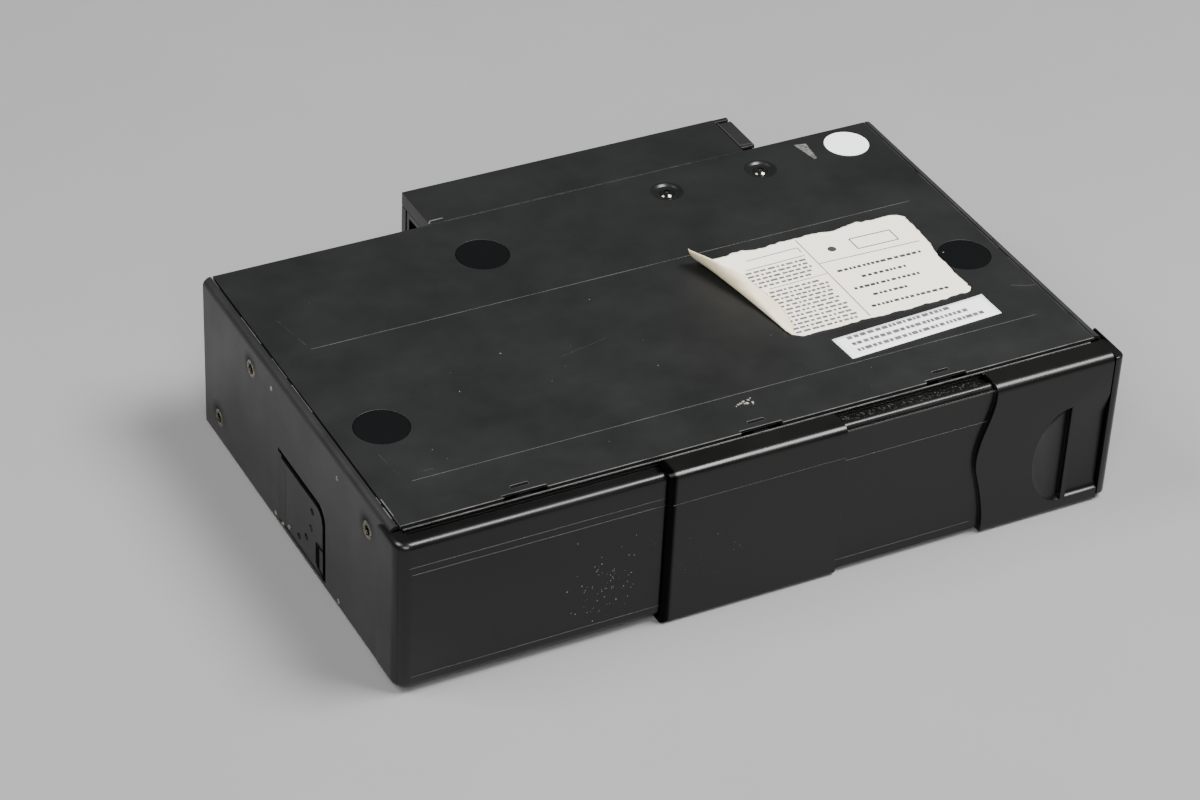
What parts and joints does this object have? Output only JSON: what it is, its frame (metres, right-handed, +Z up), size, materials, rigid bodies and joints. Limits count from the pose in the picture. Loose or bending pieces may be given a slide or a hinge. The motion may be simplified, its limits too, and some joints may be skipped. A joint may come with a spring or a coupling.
{
  "type": "car cd changer",
  "caption": "Black boxed trunk disc changer lying base up, with a two-leaf sliding front door, a tray magazine and its player inside, rubber pads, a peeling label and a rear box.",
  "frame": {"origin": "middle of the footprint on the surface that the object lies on", "axes": "+Z up from the face that lies down to the base plate, -Y to the sliding door, +X towards the magazine side"},
  "size_m": [0.2566, 0.181, 0.0656],
  "materials": {
    "black_steel": "satin black paint on folded sheet",
    "black_plastic": "fine grained black",
    "rubber": "matt black",
    "paper": "worn uncoated cream paper",
    "zinc_steel": "zinc plated",
    "brass": "turned",
    "bright_steel": "ground",
    "grey_plastic": "moulded",
    "white_plastic": "moulded",
    "circuit_board": "green solder mask",
    "tray_plastic": "moulded"
  },
  "bodies": {
    "case": {"case_cover": "black_steel", "base_plate": "black_steel", "pad_1": "rubber", "pad_2": "rubber", "pad_3": "rubber", "transport_screw_1": "zinc_steel", "transport_screw_2": "zinc_steel", "front_bezel": "black_plastic", "rear_housing": "black_steel", "rear_cover": "black_steel", "rear_connector": "black_plastic", "connector_pins": "brass", "interface_board": "circuit_board", "angle_plate": "black_steel", "insert_1": "brass", "insert_2": "brass", "insert_3": "brass", "insert_4": "brass", "insert_5": "brass", "insert_6": "brass", "paper_label": "paper", "mechanism_frame": "zinc_steel", "bay_top": "zinc_steel", "main_board": "circuit_board", "guide_post_1": "bright_steel", "guide_post_2": "bright_steel", "guide_post_3": "bright_steel", "lift_motor": "bright_steel", "lift_belt": "rubber", "eject_spring": "bright_steel", "damper_1": "rubber", "damper_2": "rubber", "damper_3": "rubber", "damper_4": "rubber"},
    "door": {"sliding_door": "black_plastic"},
    "door_cover": {"door_cover_plate": "black_plastic"},
    "magazine": {"magazine_case": "grey_plastic"},
    "tray_body_1": {"tray_1": "tray_plastic"},
    "tray_body_2": {"tray_2": "tray_plastic"},
    "tray_body_3": {"tray_3": "tray_plastic"},
    "tray_body_4": {"tray_4": "tray_plastic"},
    "tray_body_5": {"tray_5": "tray_plastic"},
    "tray_body_6": {"tray_6": "tray_plastic"},
    "eject_button_body": {"eject_button": "grey_plastic"},
    "eject_lever_body": {"eject_lever": "zinc_steel"},
    "deck": {"lift_deck": "zinc_steel", "spindle_motor": "bright_steel", "sled_rod": "bright_steel", "sled_motor": "bright_steel", "tray_motor": "bright_steel"},
    "lift_screw_body": {"lift_screw": "bright_steel"},
    "pulley_body": {"motor_pulley": "brass"},
    "turntable_body": {"turntable": "black_plastic"},
    "sled": {"pickup_sled": "black_plastic"},
    "sled_screw_body": {"sled_screw": "bright_steel"},
    "clamp": {"clamp_arm": "zinc_steel"},
    "disc_clamp_body": {"disc_clamp": "white_plastic"},
    "pusher": {"tray_pusher": "white_plastic"},
    "tray_screw_body": {"tray_screw": "bright_steel"},
    "angle_lever_body": {"angle_lever": "white_plastic"}
  },
  "joints": [
    {"name": "door_slide", "type": "slide", "parent": "case", "child": "door", "axis": [-1, 0, 0], "range_m": [0, 0.136]},
    {"name": "door_cover_slide", "type": "slide", "parent": "case", "child": "door_cover", "axis": [-1, 0, 0], "range_m": [0, 0.0875]},
    {"name": "magazine_slide", "type": "slide", "parent": "case", "child": "magazine", "axis": [0, -1, 0], "range_m": [0, 0.0076]},
    {"name": "tray_1_slide", "type": "slide", "parent": "magazine", "child": "tray_body_1", "axis": [-1, 0, 0], "range_m": [0, 0.1]},
    {"name": "tray_2_slide", "type": "slide", "parent": "magazine", "child": "tray_body_2", "axis": [-1, 0, 0], "range_m": [0, 0.1]},
    {"name": "tray_3_slide", "type": "slide", "parent": "magazine", "child": "tray_body_3", "axis": [-1, 0, 0], "range_m": [0, 0.1]},
    {"name": "tray_4_slide", "type": "slide", "parent": "magazine", "child": "tray_body_4", "axis": [-1, 0, 0], "range_m": [0, 0.1]},
    {"name": "tray_5_slide", "type": "slide", "parent": "magazine", "child": "tray_body_5", "axis": [-1, 0, 0], "range_m": [0, 0.1]},
    {"name": "tray_6_slide", "type": "slide", "parent": "magazine", "child": "tray_body_6", "axis": [-1, 0, 0], "range_m": [0, 0.1]},
    {"name": "eject_press", "type": "slide", "parent": "case", "child": "eject_button_body", "axis": [0, 1, 0], "range_m": [0, 0.005], "stiffness_N_per_m": 60},
    {"name": "eject_lever_turn", "type": "hinge", "parent": "case", "child": "eject_lever_body", "pos_m": [0.088, 0.05745, 0.0255], "axis": [0, 0, 1], "range_deg": [0, 8.7]},
    {"name": "deck_lift", "type": "slide", "parent": "case", "child": "deck", "axis": [0, 0, 1], "range_m": [-0.031, 0]},
    {"name": "lift_screw_turn", "type": "hinge", "parent": "case", "child": "lift_screw_body", "pos_m": [-0.066, 0.06105, 0.03], "axis": [0, 0, 1], "range_deg": [-1801, 0]},
    {"name": "motor_pulley_turn", "type": "hinge", "parent": "case", "child": "pulley_body", "pos_m": [0.012, 0.06105, 0.015], "axis": [0, 0, 1], "range_deg": [-1801, 0]},
    {"name": "turntable_spin", "type": "hinge", "parent": "deck", "child": "turntable_body", "pos_m": [-0.0475, -0.01075, 0.045], "axis": [0, 0, 1], "continuous": true},
    {"name": "sled_slide", "type": "slide", "parent": "deck", "child": "sled", "axis": [0, -1, 0], "range_m": [0, 0.03]},
    {"name": "sled_screw_turn", "type": "hinge", "parent": "deck", "child": "sled_screw_body", "pos_m": [-0.031, -0.05, 0.051], "axis": [0, 1, 0], "range_deg": [0, 3601]},
    {"name": "clamp_swing", "type": "hinge", "parent": "deck", "child": "clamp", "pos_m": [-0.1145, -0.01075, 0.0376], "axis": [0, -1, 0], "range_deg": [-1.6, 0], "stiffness_Nm_per_rad": 0.6, "springref_deg": 3.44},
    {"name": "disc_clamp_spin", "type": "hinge", "parent": "clamp", "child": "disc_clamp_body", "pos_m": [-0.0475, -0.01075, 0.038], "axis": [0, 0, 1], "continuous": true},
    {"name": "pusher_slide", "type": "slide", "parent": "deck", "child": "pusher", "axis": [-1, 0, 0], "range_m": [0, 0.1]},
    {"name": "tray_screw_turn", "type": "hinge", "parent": "deck", "child": "tray_screw_body", "pos_m": [-0.06, 0.05685, 0.0422], "axis": [1, 0, 0], "range_deg": [0, 7201]},
    {"name": "angle_lever_turn", "type": "hinge", "parent": "case", "child": "angle_lever_body", "pos_m": [-0.125, -0.00325, 0.0225], "axis": [1, 0, 0], "range_deg": [-24.3, 48.6]}
  ],
  "couplings": [
    {"joint": "door_cover_slide", "follows": "door_slide", "ratio": 0.643},
    {"joint": "eject_press", "follows": "magazine_slide", "ratio": 0.645},
    {"joint": "eject_lever_turn", "follows": "magazine_slide", "rad_per_m": 19.3},
    {"joint": "lift_screw_turn", "follows": "deck_lift", "rad_per_m": 1013.4},
    {"joint": "motor_pulley_turn", "follows": "deck_lift", "rad_per_m": 1013.4},
    {"joint": "sled_screw_turn", "follows": "sled_slide", "rad_per_m": 2094.4},
    {"joint": "pusher_slide", "follows": "tray_6_slide", "ratio": 1},
    {"joint": "tray_screw_turn", "follows": "tray_6_slide", "rad_per_m": 1256.6}
  ]
}
